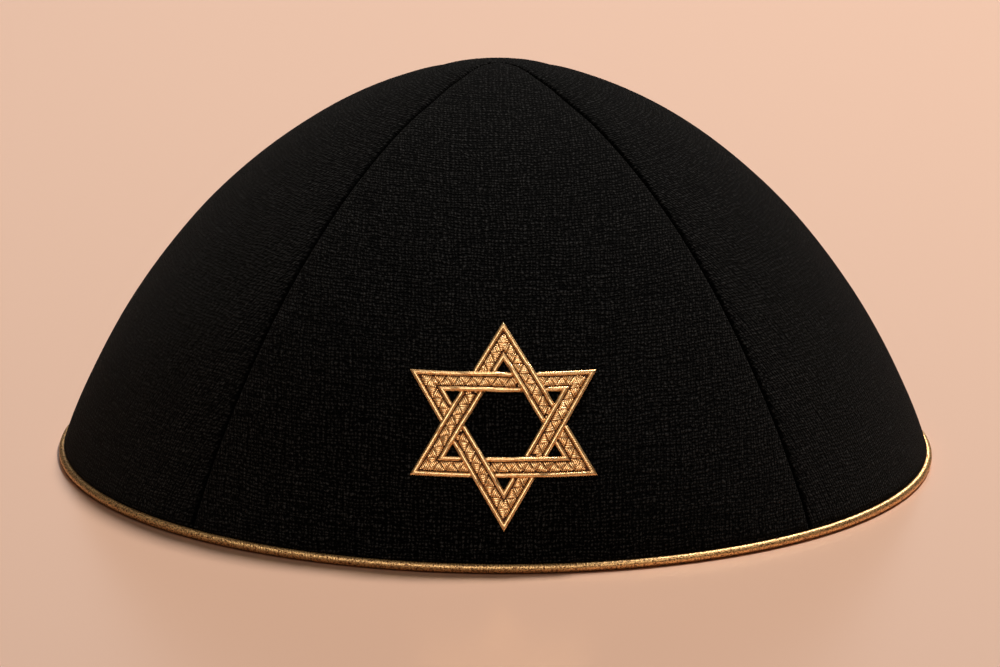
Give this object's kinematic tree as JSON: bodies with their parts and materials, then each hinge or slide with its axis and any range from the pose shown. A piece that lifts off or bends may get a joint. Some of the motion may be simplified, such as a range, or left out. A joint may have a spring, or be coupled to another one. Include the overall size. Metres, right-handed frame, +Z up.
{
  "type": "kippah skullcap",
  "caption": "Stiff domed skullcap of black linen panels, with a gold cord round its rim and a raised gold star ornament on the front panel.",
  "frame": {"origin": "centre of the rim, on the surface that the cap stands on", "axes": "+Z up through the crown, -Y towards the front panel with the ornament, +X to the right as the front is seen"},
  "size_m": [0.173, 0.173, 0.0788],
  "materials": {
    "linen": "black plain-weave linen, matt",
    "gold_cord": "gold metallised yarn wound round a core, satin",
    "gold_thread": "gold embroidery thread in satin stitch, satin"
  },
  "bodies": {
    "root": {"panel_front": "linen", "panel_right": "linen", "panel_back": "linen", "panel_left": "linen", "rim_piping": "gold_cord", "ornament": "gold_thread"}
  },
  "joints": []
}
